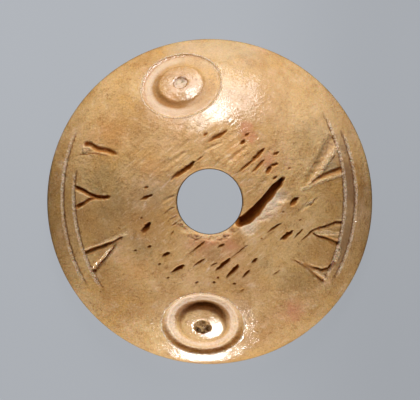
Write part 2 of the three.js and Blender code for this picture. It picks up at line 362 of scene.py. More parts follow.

# Crumbled pale bone along the cuts, its paleness partly painted highlight on their lips: plan places in
# millimetres and the width
crumbled = {
    "lift": 0.09,
    "lines": [
        {"path": [(11.5, 1.9), (12.1, 2.6), (12.85, 3.55), (13.95, 5.15), (14.6, 6.0)], "width": 0.7},
        {"path": [(10.6, 1.4), (12.0, 1.95), (13.3, 2.45), (15.4, 3.1)], "width": 0.4},
        {"path": [(-14.45, 5.9), (-13.9, 6.2)], "width": 0.9},
        {"path": [(-9.5, -3.6), (-10.8, -4.1), (-12.3, -4.75), (-14.4, -5.5)], "width": 0.32},
        {"path": [(-10.9, -5.5), (-12.3, -6.9), (-13.5, -7.9)], "width": 0.42},
        {"path": [(12.3, -3.75), (13.4, -3.6), (14.9, -3.7)], "width": 0.5},
        {"path": [(15.0, -5.1), (15.05, -6.0), (14.7, -6.7)], "width": 0.5},
        {"path": [(12.3, -8.0), (13.1, -8.5), (13.5, -8.9)], "width": 0.4},
        {"path": [(11.2, -0.4), (11.9, 0.1)], "width": 0.4},
    ],
}


def strokeFields(points):
    # Across a stroke, t is the distance over half the width there. The cut is 1 - t^1.5 deep, thinner
    # at the inner end and blunt at the outer end. Gives depth, the painted shade in the cuts, and crumbled
    # bone beside them, whose pale colour is partly painted highlight.
    depth = np.zeros(len(points))
    dirtAndShade = np.zeros(len(points))
    chips = np.zeros(len(points))
    crumble = softNoise(points, 0.3, 75) + 0.5 * softNoise(points, 0.17, 76)
    for stroke in strokes["cuts"] + crumbled["lines"]:
        path = onDome(np.array(stroke["path"]))
        reach = np.linalg.norm(points - path.mean(0), axis=1) < np.ptp(path, axis=0).max() + 1
        reach = np.flatnonzero(reach)
        gap, way = nearPath(points[reach], path)
        rough = crumble[reach]
        if "deep" not in stroke:
            bits = smooth(2 * gap / stroke["width"] + 0.35 * rough, 1.1, 0.5)
            chips[reach] = np.maximum(chips[reach], bits)
            continue
        ease = smooth(way, -0.02, 0.16) * smooth(way, 1.01, 0.97)
        inner = stroke.get("inner", strokes["innerWidth"])
        width = stroke["width"] * (inner + (1 - inner) * way)
        gap = np.abs(gap + strokes["wander"] * rough)
        across = 2 * gap / (width * (1 + 0.26 * rough) * (0.5 + 0.5 * ease))
        cut = ease * np.clip(1 - across**1.5, 0, 1)
        depth[reach] = np.maximum(depth[reach], cut * (1 + 0.4 * rough) * width * stroke["deep"])
        # The cut's floor takes painted shade
        dirtAndShade[reach] = np.maximum(dirtAndShade[reach], smooth(cut, 0, 0.5) * stroke["dirtAndShade"])
        edge = 0.6 * ease * np.exp(-(((across - 1.2) / 0.35) ** 2)) * smooth(rough, -0.2, 0.6)
        chips[reach] = np.maximum(chips[reach], edge * (1 - 0.5 * dirtAndShade[reach]))
    chips *= 1 - 0.8 * dirtAndShade
    return depth - crumbled["lift"] * chips * (0.4 + creased(points, 0.34, 77)), dirtAndShade, chips


# Pores where the dome cuts the spongy bone: start x, y, end x, y in plan and the widest width
pores = {
    "depthShare": 0.8,
    "deepest": 0.62,
    "openings": [
        (-4.6, 2.4, -1.6, 4.6, 0.58), (-1.7, 4.5, -0.6, 5.3, 0.2), (-0.3, 6.7, 2.1, 8.3, 0.42),
        (-0.8, 7.5, -0.2, 7.9, 0.26), (-8.1, 0.2, -6.5, 0.8, 0.42), (-7.6, 1.5, -7.0, 1.7, 0.25),
        (3.4, 6.6, 4.1, 7.0, 0.5), (4.1, 7.4, 4.5, 7.9, 0.36), (3.1, 3.1, 5.2, 5.0, 0.3),
        (4.6, 4.4, 6.4, 6.1, 0.55), (4.7, 3.2, 6.4, 4.9, 0.32), (7.3, 5.3, 8.0, 5.7, 0.36),
        (6.5, 3.1, 7.1, 4.1, 0.5), (6.9, 4.1, 7.9, 4.3, 0.36), (7.2, 2.5, 7.8, 2.9, 0.32),
        (8.9, 3.7, 9.4, 3.9, 0.2), (0.9, -5.3, 1.7, -4.8, 0.32), (9.3, -0.6, 10.3, 0.5, 0.58),
        (6.5, -3.7, 8.3, -2.4, 0.32), (8.1, -4.5, 9.6, -3.3, 0.54), (9.7, -4.3, 10.8, -3.1, 0.26),
        (10.4, -4.6, 12.0, -3.3, 0.26), (10.2, -2.3, 10.6, -2.0, 0.2), (11.5, -0.5, 11.8, -0.3, 0.2),
        (8.3, -1.3, 8.6, -1.1, 0.22), (5.8, -4.3, 6.1, -4.2, 0.24), (0.7, -8.0, 2.4, -6.5, 0.64),
        (2.3, -6.6, 4.5, -4.9, 0.2), (1.8, -8.8, 3.4, -7.3, 0.58), (4.8, -7.1, 5.5, -6.5, 0.42),
        (3.7, -8.8, 4.7, -7.8, 0.36), (3.5, -10.4, 4.0, -10.0, 0.22), (2.6, -9.5, 3.1, -9.4, 0.25),
        (7.2, -8.5, 8.2, -7.8, 0.2), (-7.8, -3.8, -7.0, -2.2, 0.88), (-7.2, -5.3, -6.8, -5.0, 0.36),
        (-5.5, -6.4, -4.6, -5.8, 0.48), (-4.4, -8.2, -2.9, -7.3, 0.66), (-2.1, -5.8, -0.5, -4.5, 0.3),
        (-2.0, -7.5, -0.5, -6.5, 0.26), (0.0, -7.5, 0.9, -7.0, 0.22), (-1.7, -9.4, -1.3, -9.2, 0.26),
        (0.8, -8.8, 1.1, -8.7, 0.26), (0.3, -9.3, 0.7, -9.3, 0.26), (-8.0, -2.0, -7.7, -1.8, 0.26),
        (-4.4, -2.9, -3.7, -2.3, 0.2), (-4.5, -3.9, -4.1, -3.3, 0.2), (-5.0, -8.8, -4.6, -8.7, 0.25),
        (-6.0, -7.2, -5.6, -7.1, 0.25), (-8.8, -5.7, -8.4, -5.6, 0.25),
    ],
}

# Shallow channels beside the pores, worn along the grain: the same five numbers
channels = {
    "depth": 0.16,
    "openings": [
        (-6.3, 3.4, -2.6, 5.8, 0.75), (-6.4, -0.7, -3.7, 0.9, 0.5), (-5.6, -1.6, -3.9, -0.6, 0.4),
        (-1.0, 5.6, 1.6, 6.9, 0.5), (2.0, 4.4, 4.3, 6.4, 0.6), (-5.2, -2.6, -3.6, -1.5, 0.45),
        (4.6, -5.2, 7.6, -3.2, 0.6), (-3.3, -6.6, -1.4, -5.2, 0.5), (9.6, -1.6, 12.6, 0.6, 0.5),
    ],
}


def spindleCut(points, opening, seed):
    # A spindle-shaped pit in plan: u runs -1 to 1 along it, its half width is (1 - u^2)^0.65 of the
    # widest, it is sqrt(1 - (v / half width)^2) deep across, and deeper towards its end than its start.
    # Its edge fades by exp(-distance / 0.12). Gives the cut and the edge.
    x0, y0, x1, y1, width = opening
    length = math.hypot(x1 - x0, y1 - y0) / 2
    cosTurn, sinTurn = (x1 - x0) / (2 * length), (y1 - y0) / (2 * length)
    dx = points[:, 0] - (x0 + x1) / 2
    dy = points[:, 1] - (y0 + y1) / 2
    near = np.flatnonzero((dx**2 + dy**2 < (length * 1.3 + 0.3) ** 2) & (points[:, 2] > 3))
    warp = 0.7 * softNoise(points[near], 0.7, seed) + 0.5 * softNoise(points[near], 0.3, seed + 500)
    u = (dx[near] * cosTurn + dy[near] * sinTurn) / length * (1 + 0.06 * warp)
    v = dy[near] * cosTurn - dx[near] * sinTurn + warp * width * 0.3
    half = width / 2 * np.clip(1 - u**2, 0, 1) ** 0.65 + 1e-6
    cut = np.zeros(len(points))
    across = np.sqrt(np.clip(1 - (v / half) ** 2, 0, 1))
    cut[near] = across * np.clip(1 - u**2, 0, 1) ** 0.4 * (0.75 + 0.3 * u)
    edge = np.zeros(len(points))
    edge[near] = np.exp(-np.maximum(np.abs(v) - half, 0) / 0.12) * smooth(np.abs(u), 1.2, 0.95)
    return cut, edge


def poreFields(points):
    # The deepest cut of all pores and channels, the painted shade that darkens the pores, most in the deep
    # middle of the wide ones, and the broken edges of the pores
    pore = np.zeros(len(points))
    dark = np.zeros(len(points))
    edges = np.zeros(len(points))
    for i, opening in enumerate(pores["openings"]):
        cut, edge = spindleCut(points, opening, 200 + i)
        depth = min(opening[4] * pores["depthShare"], pores["deepest"])
        pore = np.maximum(pore, depth * cut)
        dark = np.maximum(dark, cut * smooth(opening[4], 0.05, 0.3))
        edges = np.maximum(edges, edge)
    for i, opening in enumerate(channels["openings"]):
        pore = np.maximum(pore, channels["depth"] * spindleCut(points, opening, 300 + i)[0] ** 1.5)
    return pore, dark, edges


# The long crack out of the bore, its centre line in plan with half widths, and the worn shelf below it:
# its turn from the grain in degrees, a place on its inner edge, its middle, and how far along from there
# each end starts and is full
crack = {
    "path": [
        (3.5, -2.4), (4.3, -1.95), (5.2, -1.25), (6.25, -0.1),
        (6.8, 0.55), (7.45, 1.45), (8.05, 2.05), (8.4, 2.6),
    ],
    "halfWidths": [0.6, 0.8, 0.78, 0.62, 0.6, 0.58, 0.46, 0.24],
    "depth": 1.05,
    "shelfDepth": 0.45,
    "shelfWidth": 1.9,
    "shelfTurn": 3,
    "shelfEdge": (6.2, -0.3),
    "shelfMiddle": (6.9, -0.9),
    "shelfEnds": [(3.3, 1.6), (-4.6, -3.2)],
}


def crackFields(points):
    # Distance to the centre line in plan against the half width there: steep walls where the share
    # passes 1. The shelf falls away from the crack's lower right side over the shelf width, which creased
    # noise breaks up.
    near = (np.abs(points[:, 0] - 6) < 5.5) & (np.abs(points[:, 1]) < 5.5) & (points[:, 2] > 0.2)
    near = np.flatnonzero(near)
    plan = points[near] * [1, 1, 0]
    path = np.column_stack([np.array(crack["path"]), np.zeros(len(crack["path"]))])
    gap, way = nearPath(plan, path)
    half = np.interp(way, np.linspace(0, 1, len(path)), crack["halfWidths"])
    share = (gap + 0.08 * softNoise(points[near], 0.7, 17)) / half
    deep = np.zeros(len(points))
    deep[near] = smooth(share, 1.06, 0.72)
    turn = math.radians(body["grainHeading"] + crack["shelfTurn"])
    fromEdge, fromMiddle = (plan[:, :2] - crack[place] for place in ("shelfEdge", "shelfMiddle"))
    side = fromEdge[:, 0] * math.sin(turn) - fromEdge[:, 1] * math.cos(turn)
    along = fromMiddle[:, 0] * math.cos(turn) + fromMiddle[:, 1] * math.sin(turn)
    shelf = np.zeros(len(points))
    broken = 1 + 0.3 * creased(points[near], 1.3, 18) + 0.16 * creased(points[near], 0.55, 19)
    band = smooth(side, crack["shelfWidth"] * broken, 0.5) * (side > 0)
    top, foot = (smooth(along, *end) for end in crack["shelfEnds"])
    shelf[near] = band * top * foot * (0.6 + 0.4 * broken)
    return deep, shelf


# The worn lip of the bore: chipped on the side away from the crack, from one azimuth to another
lipWear = {"depth": 0.62, "reach": 1.1, "start": 200, "end": 340, "elsewhere": 0.18}


def lipFields(points):
    # The wear fades over its reach from the bore's edge, and noise bites chips out of it. Gives the
    # depth and the pale broken bone.
    radius = np.hypot(points[:, 0], points[:, 1])
    azimuth = np.degrees(np.arctan2(points[:, 1], points[:, 0])) % 360
    side = smooth(azimuth, lipWear["start"], lipWear["start"] + 30)
    side *= smooth(azimuth, lipWear["end"], lipWear["end"] - 20)
    side = lipWear["elsewhere"] + (1 - lipWear["elsewhere"]) * side
    plan = points * [1, 1, 0]
    bites = 0.45 + 0.45 * creased(plan, 1.1, 130) + 0.25 * creased(plan, 0.45, 131)
    near = smooth(radius - body["boreRadius"], lipWear["reach"] * np.clip(bites + 0.35, 0.2, 1.2), 0.05)
    near *= smooth(points[:, 2], 3, 6) * side
    return lipWear["depth"] * near * np.clip(bites, 0, 1), near * smooth(bites, 0.25, 0.7)


# Stains on the upper face, and patches of painted light: the pale ones on the upper right flank are painted
# sheen, and the grey patch at 12.0, 7.4 is painted shade beside the broad cut there. Plan places in
# millimetres and the size of each patch
stainsAndPaintedLight = {
    "orange": [(-11.7, 7.8, 1.9), (-7.0, 3.7, 1.4), (-8.2, -7.4, 1.6), (3.0, 5.8, 1.2), (-4.5, 11.0, 1.6)],
    "rose": [
        (4.2, 7.8, 0.7), (4.0, 8.7, 0.5), (4.9, 7.3, 0.5), (-0.5, -5.2, 1.5), (2.2, -4.9, 1.2),
        (6.8, 4.6, 1.0), (9.4, -12.6, 1.2),
    ],
    "ashen": [(0.5, 18.2, 2.2), (4.2, 17.9, 2.0), (-3.4, 18.0, 1.6), (-6.5, 1.0, 2.2), (13.9, 4.1, 0.9)],
    "paintedLight": [(10.5, 11.5, 4.5), (14.0, 9.0, 3.0), (6.5, 13.5, 3.5)],
    "grey": [
        (-10.5, -0.6, 2.4), (-7.6, -5.6, 1.5), (6.1, -7.1, 1.0), (0.3, -6.2, 0.9), (-12.6, 2.8, 1.6),
        (12.0, 7.4, 2.2), (10.5, -9.5, 2.2),
    ],
}


def patchField(points, places, seed):
    # Each patch is exp(-(distance / size)^2), its distance shifted by noise so that its edge is broken
    total = np.zeros(len(points))
    shift = softNoise(points, 1.3, seed) + 0.7 * softNoise(points, 0.5, seed + 1)
    for x, y, size in places:
        gap = np.hypot(points[:, 0] - x, points[:, 1] - y) + 0.45 * size * shift
        total += np.exp(-((np.maximum(gap, 0) / size) ** 2))
    return np.clip(total, 0, 1)


# Relief of the plain bone: the radii where the spongy middle ends and is full, and its broken edge; its
# furrows, drawn out along the grain; how far it is worn down; and the broad swell. Noises are lists of
# cell size, height and seed.
relief = {
    "spongyEnd": 12.5,
    "spongyFull": 7.5,
    "spongyEdge": [(3.0, 1.5, 5)],
    "grainStretch": 4.5,
    "furrows": [(0.55, 0.036, 11), (0.26, 0.024, 12)],
    "spongeWorn": 0.05,
    "swells": [(5.0, 0.05, 21), (2.0, 0.02, 22)],
    "worn": 0.02,
}


def layered(points, layers):
    return sum(softNoise(points, cell, seed) * height for cell, height, seed in layers)


def sinkBody(points):
    # Every field is worked out on the plain body, and the point is moved down along the dome's
    # normal, or straight down at the bore, so that the lip and the wall follow what opens into them
    plan = points[:, :2]
    radius = np.linalg.norm(plan, axis=1)
    upper = smooth(points[:, 2], 1.2, 3.0)
    lean = smooth(radius, lipRadius, lipRadius + 2)[:, None]
    rise = np.sqrt(np.maximum(domeRadius**2 - radius**2, 1))
    down = -np.column_stack([plan * lean, rise])
    down /= np.linalg.norm(down, axis=1)[:, None]

    ringSunk, marked = ringFields(points)
    borders, borderReach, borderBand = borderFields(points)
    cuts, strokeShade, strokeEdge = strokeFields(points)
    pore, dark, poreEdges = poreFields(points)
    wear, worn = lipFields(points)
    deep, shelf = crackFields(points)

    broken = radius + layered(points, relief["spongyEdge"])
    spongy = smooth(broken, relief["spongyEnd"], relief["spongyFull"]) * upper
    furrows = layered(alongGrain(points, body["grainHeading"], relief["grainStretch"]), relief["furrows"])
    swell = layered(points, relief["swells"])
    depth = borders + cuts + pore * (1 - deep) + spongy * (furrows + relief["spongeWorn"])
    depth += swell * upper + relief["worn"]
    depth += crack["depth"] * deep + (crack["shelfDepth"] * shelf + wear) * (1 - deep)
    wall = radius < body["boreRadius"] + 0.02
    follow = np.where(wall, smooth(points[:, 2], 0.0, body["crown"]) * 0.96, upper)
    moved = points + down * (depth * follow)[:, None] + ringSunk * upper[:, None]

    fields = {
        # Painted shade: in the pores and the crack, then in the cuts
        "cavityShade": np.maximum(dark, deep) * follow,
        "cutShade": strokeShade,
        "chips": np.maximum(strokeEdge, worn) * upper,
        "poreEdges": poreEdges * upper,
        "borderReach": borderReach,
        "borderBand": borderBand,
        **marked,
        "under": smooth(points[:, 2], 1.0, 0.2),
        "spongy": spongy,
        "shelf": shelf * (1 - deep),
    }
    for i, (name, places) in enumerate(stainsAndPaintedLight.items()):
        fields[name] = patchField(points, places, 90 + 2 * i) * upper
    return moved, fields


def makeMesh(name, points, faces, fields):
    mesh = bpy.data.meshes.new(name)
    mesh.vertices.add(len(points))
    mesh.vertices.foreach_set("co", (points * mm).astype(np.float32).ravel())
    mesh.loops.add(faces.size)
    mesh.loops.foreach_set("vertex_index", faces.astype(np.int32).ravel())
    mesh.polygons.add(len(faces))
    mesh.polygons.foreach_set("loop_start", np.arange(0, faces.size, 3, dtype=np.int32))
    mesh.update(calc_edges=True)
    mesh.polygons.foreach_set("use_smooth", np.ones(len(faces), dtype=bool))
    for field, values in fields.items():
        mesh.attributes.new(field, "FLOAT", "POINT").data.foreach_set("value", values.astype(np.float32))
    mesh.validate()
    made = bpy.data.objects.new(name, mesh)
    bpy.context.scene.collection.objects.link(made)
    return made


# Bone: colours as sRGB, reliefs in millimetres, and in metres how far each colour of light scatters
boneLook = {
    "light": (0.92, 0.755, 0.52),
    "deep": (0.79, 0.60, 0.365),
    "amber": (0.90, 0.70, 0.40),
    "peach": (0.93, 0.75, 0.58),
    "umber": (0.72, 0.52, 0.30),
    # Dirt specks, and painted shade in the cuts' ring marks, on the border lines' inner edges and round the
    # dots
    "dirtAndShade": (0.50, 0.28, 0.08),
    # Painted shade in the pores and the crack
    "cavityShade": (0.61, 0.36, 0.12),
    # Painted shade in the cuts
    "shadedCut": (0.66, 0.38, 0.09),
    "orange": (0.93, 0.64, 0.35),
    "rose": (0.84, 0.52, 0.40),
    "grey": (0.58, 0.49, 0.33),
    "ashen": (0.80, 0.71, 0.58),
    # Painted sheen on the upper right flank
    "paintedLight": (0.95, 0.80, 0.62),
    "pale": (0.98, 0.87, 0.75),
    # Pale crumbs beside the cuts and on the worn lip, partly painted highlight
    "crumbAndGlint": (0.93, 0.79, 0.61),
    # Painted shade on the band between the last two border lines
    "bandShade": (0.62, 0.48, 0.36),
    # Painted light on one side of the ring floors
    "whitish": (0.90, 0.79, 0.68),
    "shade": (0.50, 0.27, 0.06),
    "chalk": (0.88, 0.77, 0.66),
    # Painted shade on one side of the rings' outer walls
    "wallShade": (0.70, 0.44, 0.14),
    "soil": (0.42, 0.27, 0.13),
    "clay": (0.66, 0.52, 0.34),
    "leastRoughness": 0.44,
    "mostRoughness": 0.62,
    "dullRoughness": 0.3,
    "specular": 0.17,
    "refraction": 1.54,
    "coat": 1.0,
    "coatRefraction": 1.6,
    "coatRoughness": 0.085,
    "ringCoatRoughness": 0.7,
    "fibreRelief": 0.03,
    "grainRelief": 0.075,
    "patchRelief": 0.2,
    "crumbRelief": 0.18,
    "spongeRelief": 0.06,
    "polish": 0.25,
    "translucence": 0.32,
    "scatter": (0.0010, 0.0005, 0.0002),
}

# Noises of the bone: scale per millimetre, detail and roughness
boneNoises = {
    "broad": (0.13, 5, 0.5),
    "patch": (0.6, 6, 0.72),
    "hue": (0.31, 4, 0.6),
    "speck": (4.2, 4, 0.7),
    "dots": (2.4, 3, 0.55),
    "crumbs": (6.0, 3, 0.6),
    "grit": (2.6, 2, 0.6),
    "lumpy": (1.7, 2, 0.5),
    "cells": (1.3, 3, 0.6),
}
# The fibres' noise, and how far it is drawn out along the grain
boneFibre = {"noise": (3.2, 5, 0.62), "shrink": 0.14}

# Tones laid over the plain bone in turn: for each noise, the values it is read between and the share at
# each of them. The shares of one tone are multiplied.
boneLayers = [
    ("amber", [("hue", 0.5, 0.7, 0, 0.55)]),
    ("peach", [("hue", 0.48, 0.3, 0, 0.55)]),
    ("umber", [("patch", 0.46, 0.67, 0, 0.62), ("speck", 0.35, 0.6, 0.35, 1)]),
    ("pale", [("patch", 0.45, 0.31, 0, 0.28)]),
    ("umber", [("fibre", 0.5, 0.74, 0, 0.28)]),
    ("umber", [("speck", 0.5, 0.72, 0, 0.45)]),
    ("pale", [("speck", 0.44, 0.27, 0, 0.4)]),
    ("dirtAndShade", [("crumbs", 0.5, 0.68, 0, 1), ("patch", 0.35, 0.62, 0.1, 0.42)]),
    ("dirtAndShade", [("dots", 0.64, 0.72, 0, 0.5), ("patch", 0.52, 0.62, 0, 1)]),
]

# How strongly each stain or patch of painted light shows, and how much of its tone each part of the mesh
# takes
patchShares = {"orange": 0.38, "rose": 0.62, "grey": 0.4, "ashen": 0.5, "paintedLight": 0.32}
partShares = {
    "spongyUmber": 0.22,
    "spongyStreaks": 0.3,
    "spongyPale": 0.4,
    "poreEdges": 0.3,
    # Painted shade at the boss's foot
    "crevice": 0.85,
    "bossEdge": 0.35,
    # Painted shade round the dots' rims
    "topDotRim": 0.55,
    "lowDotRim": 0.5,
    "ringFloorDull": 0.36,
    "carvedGlow": 0.5,
}


def linear(colour):
    return tuple(c / 12.92 if c <= 0.04045 else ((c + 0.055) / 1.055) ** 2.4 for c in colour) + (1,)


class Shader:
    # A small helper that adds nodes to one material and joins them
    def __init__(self, name):
        self.material = bpy.data.materials.new(name)
        self.material.use_nodes = True
        self.tree = self.material.node_tree
        self.tree.nodes.clear()
        self.output = self.tree.nodes.new("ShaderNodeOutputMaterial")

    def add(self, kind, inputs=None, **settings):
        node = self.tree.nodes.new("ShaderNode" + kind)
        for key, value in settings.items():
            setattr(node, key, value)
        for key, value in (inputs or {}).items():
            self.put(node.inputs[key], value)
        return node

    def put(self, socket, value):
        if isinstance(value, bpy.types.NodeSocket):
            self.tree.links.new(value, socket)
        else:
            socket.default_value = value

    def field(self, name):
        return self.add("Attribute", attribute_name=name).outputs["Fac"]

    def noise(self, place, scale, detail=2.0, rough=0.5):
        node = self.add("TexNoise", {"Vector": place, "Scale": scale, "Detail": detail, "Roughness": rough})
        return node.outputs["Fac"]

    def range(self, value, low, high, start=0.0, end=1.0):
        inputs = {"Value": value, "From Min": low, "From Max": high, "To Min": start, "To Max": end}
        return self.add("MapRange", inputs, interpolation_type="SMOOTHSTEP").outputs["Result"]

    def math(self, operation, a, b=0.0):
        node = self.add("Math", operation=operation)
        self.put(node.inputs[0], a)
        self.put(node.inputs[1], b)
        return node.outputs[0]

    def vector(self, operation, a, b=(0.0, 0.0, 0.0)):
        node = self.add("VectorMath", operation=operation)
        self.put(node.inputs[0], a)
        self.put(node.inputs[1], b)
        return node.outputs["Value" if operation in ("LENGTH", "DISTANCE") else "Vector"]

    def near(self, value, middle, half):
        # 1 where the value is the middle, easing to 0 at half away from it
        return self.range(self.math("ABSOLUTE", self.math("SUBTRACT", value, middle)), half, half * 0.3)

    def gather(self, operation, values):
        gathered = values[0]
        for value in values[1:]:
            gathered = self.math(operation, gathered, value)
        return gathered

    def product(self, *values):
        return self.gather("MULTIPLY", values)

    def total(self, *values):
        return self.gather("ADD", values)

    def most(self, *values):
        return self.gather("MAXIMUM", values)

    def mix(self, share, a, b):
        node = self.add("Mix", data_type="RGBA", clamp_factor=True)
        self.put(node.inputs["Factor"], share)
        self.put(node.inputs["A"], a)
        self.put(node.inputs["B"], b)
        return node.outputs["Result"]


def bonePlaces(shade):
    # The place in millimetres, the same drawn out along the grain, and shaken a little for uneven edges
    place = shade.add("TexCoord").outputs["Object"]
    place = shade.add("Mapping", {"Vector": place, "Scale": (1 / mm,) * 3}).outputs[0]
    turn = math.radians(body["grainHeading"])
    along = shade.add("Mapping", {"Vector": place, "Rotation": (0, 0, -turn)}).outputs[0]
    along = shade.add("Mapping", {"Vector": along, "Scale": (boneFibre["shrink"], 1, 1)}).outputs[0]
    shaken = shade.add("TexNoise", {"Vector": place, "Scale": 3.0, "Detail": 3.0}).outputs["Color"]
    shaken = shade.vector("MULTIPLY", shade.vector("SUBTRACT", shaken, (0.5, 0.5, 0.5)), (0.42, 0.42, 0.42))
    return place, along, shade.vector("ADD", place, shaken)


def plainTones(shade, tone, noises):
    speck, crumbs, fibre = noises["speck"], noises["crumbs"], noises["fibre"]
    colour = shade.mix(shade.range(noises["broad"], 0.35, 0.68), tone["light"], tone["deep"])
    for name, reads in boneLayers:
        shares = [shade.range(noises[read], *ends) for read, *ends in reads]
        colour = shade.mix(shade.product(*shares), colour, tone[name])
    # Stains, and patches of painted sheen and painted shade
    for name, share in patchShares.items():
        patchShare = shade.product(shade.field(name), shade.range(speck, 0.3, 0.6, 0.75 * share, share))
        colour = shade.mix(patchShare, colour, tone[name])
    spongy, edges = shade.field("spongy"), shade.field("poreEdges")
    streaks = shade.product(spongy, shade.range(fibre, 0.58, 0.74), partShares["spongyStreaks"])
    ridges = shade.product(spongy, shade.range(fibre, 0.46, 0.32), partShares["spongyPale"])
    # Painted light on the lit slope of the worn shelf below the crack, broken by crumbs
    crumbly = shade.product(shade.field("shelf"), shade.range(crumbs, 0.62, 0.45, 0.6, 1.0))
    colour = shade.mix(shade.product(spongy, partShares["spongyUmber"]), colour, tone["umber"])
    colour = shade.mix(streaks, colour, tone["cavityShade"])
    colour = shade.mix(ridges, colour, tone["pale"])
    colour = shade.mix(shade.product(edges, partShares["poreEdges"]), colour, tone["umber"])
    return shade.mix(crumbly, colour, tone["pale"])


def markPlaces(shade, shaken):
    # Distances from the marks' axes, and s, which runs from 0 at the boss to 1 at the ring's outer edge,
    # as in the mesh
    boss = ringMarks["bossRadius"]
    gaps, shares = [], []
    for mark, (foot, axis) in zip(ringMarks["marks"], markAxes()):
        arm = shade.vector("SUBTRACT", shaken, tuple(foot))
        gap = shade.vector("LENGTH", shade.vector("CROSS_PRODUCT", arm, tuple(axis)))
        gaps.append(gap)
        shares.append(shade.math("DIVIDE", shade.math("SUBTRACT", gap, boss), mark["outerRadius"] - boss))
    return gaps, shade.math("MINIMUM", *shares)


def ringTones(shade, tone, noises, colour, gaps, share):
    # The turned floor, paler on one side with painted light, the outer wall, darker on one side with painted
    # shade, the boss's edge and the painted shade at its foot. Gives the colour, the crumbled lip, whose pale
    # crumbs are partly painted highlight, and the turning lines.
    face, crumbs = shade.field("ringFace"), noises["crumbs"]
    across = shade.math("MULTIPLY", shade.math("MINIMUM", *gaps), 6.0)
    turned = shade.noise(shade.add("CombineXYZ", {"X": across}).outputs[0], 1.0, 3, 0.6)
    floor = shade.product(face, shade.range(share, 0.3, 0.5), shade.range(share, 0.96, 0.8))
    # Painted light on one side of the floor
    paintedLight = shade.product(floor, shade.field("paleFloor"), shade.range(turned, 0.3, 0.65, 0.35, 0.85))
    # Painted shade on one side of the outer wall
    wall = shade.product(shade.field("outerWall"), shade.near(share, 0.89, 0.14))
    wall = shade.product(wall, shade.range(crumbs, 0.3, 0.6, 0.45, 0.8))
    edge = shade.product(face, shade.near(share, 0.02, 0.08), partShares["bossEdge"])
    # Painted shade at the boss's foot
    crevice = shade.product(shade.field("crevice"), partShares["crevice"])
    # Pale crumbs on the lip, partly painted highlight
    lip = shade.product(face, shade.near(share, 1.035, 0.07), shade.range(crumbs, 0.6, 0.42, 0.1, 1.0))
    for part, name in ((paintedLight, "whitish"), (wall, "wallShade"), (edge, "umber"), (crevice, "shade")):
        colour = shade.mix(part, colour, tone[name])
    return colour, lip, turned


def borderTones(shade, tone, noises, colour, shaken):
    # The band between the last two lines, darkened with painted shade, and painted shade on the inner edge
    # of each. Gives the colour and the bright crumbs in the lines, which are partly painted highlight.
    crumbs = noises["crumbs"]
    flat = shade.vector("MULTIPLY", shaken, (1.0, 1.0, 0.0))
    lineGap, edgeGap = 9.0, 9.0
    for centre, radius in borderCircles():
        way = shade.math("SUBTRACT", shade.vector("DISTANCE", flat, (*centre, 0.0)), radius)
        lineGap = shade.math("MINIMUM", lineGap, shade.math("ABSOLUTE", way))
        edgeGap = shade.math("MINIMUM", edgeGap, shade.math("ABSOLUTE", shade.math("ADD", way, 0.22)))
    reach = shade.field("borderReach")
    # Painted shade on the band between the last two lines
    band = shade.product(shade.field("borderBand"), shade.range(noises["hue"], 0.35, 0.6, 0.3, 0.75))
    # Painted shade on each line's inner edge
    edge = shade.product(shade.range(edgeGap, 0.18, 0.04), shade.range(reach, 0.02, 0.4))
    edge = shade.product(edge, shade.range(crumbs, 0.62, 0.45, 0.3, 0.85))
    # Bright crumbs in the lines, partly painted highlight
    bright = shade.product(shade.range(lineGap, 0.26, 0.1), shade.range(reach, 0.25, 0.9))
    bright = shade.product(bright, shade.range(crumbs, 0.42, 0.54, 0.1, 1.0))
    bright = shade.product(bright, shade.range(noises["patch"], 0.62, 0.42, 0.45, 1.0))
    colour = shade.mix(band, colour, tone["bandShade"])
    return shade.mix(edge, colour, tone["dirtAndShade"]), bright


def dotTones(shade, tone, noises, colour, gaps):
    # The filling of both dots, chalky above and earthy below, with a rim of painted shade. Gives the colour
    # and dots.
    face, lumpy = shade.field("ringFace"), noises["lumpy"]
    topRadius, lowRadius = (mark["dotRadius"] for mark in ringMarks["marks"])
    top = shade.product(face, shade.range(gaps[0], topRadius + 0.03, topRadius - 0.1))
    low = shade.product(face, shade.range(gaps[1], lowRadius + 0.03, lowRadius - 0.1))
    stained = shade.product(shade.range(lumpy, 0.5, 0.6), shade.range(gaps[0], 0.7, 0.3))
    chalk = shade.mix(stained, tone["chalk"], tone["grey"])
    soil = shade.mix(shade.range(lumpy, 0.56, 0.47), tone["soil"], tone["clay"])
    soil = shade.mix(shade.range(noises["crumbs"], 0.6, 0.68, 0, 0.9), soil, tone["pale"])
    colour = shade.mix(top, colour, chalk)
    colour = shade.mix(low, colour, soil)
    # Painted shade round the rim of each dot
    topRim = shade.product(face, shade.near(gaps[0], topRadius, 0.14), partShares["topDotRim"])
    lowRim = shade.product(face, shade.near(gaps[1], lowRadius, 0.14), partShares["lowDotRim"])
    return shade.mix(shade.most(topRim, lowRim), colour, tone["dirtAndShade"]), top, low


def boneRelief(shade, noises, worn, turned):
    # Heights of the fibres, grit and patches, and of the crumbled parts. Gives the bone's normal and the
    # polish's, which keeps only a share of the first, so that the gloss stays sharper than the bone.
    fibre, under = noises["fibre"], shade.field("under")
    parts = [
        shade.product(fibre, boneLook["fibreRelief"]),
        shade.product(noises["grit"], boneLook["grainRelief"]),
        shade.product(noises["patch"], boneLook["patchRelief"]),
        shade.product(fibre, shade.field("spongy"), boneLook["spongeRelief"]),
    ]
    crumbly = shade.most(worn, shade.product(shade.field("shelf"), 0.7))
    crumbled = [
        shade.product(noises["crumbs"], crumbly, boneLook["crumbRelief"]),
        shade.product(noises["cells"], under, -boneLook["crumbRelief"]),
        shade.product(turned, shade.field("ringFace"), boneLook["fibreRelief"]),
    ]
    height, loose = shade.total(*parts), shade.total(*crumbled)
    polished = shade.total(shade.product(height, boneLook["polish"]), loose)
    heights = (shade.total(height, loose), polished)
    return [shade.add("Bump", {"Height": value, "Distance": mm}).outputs["Normal"] for value in heights]


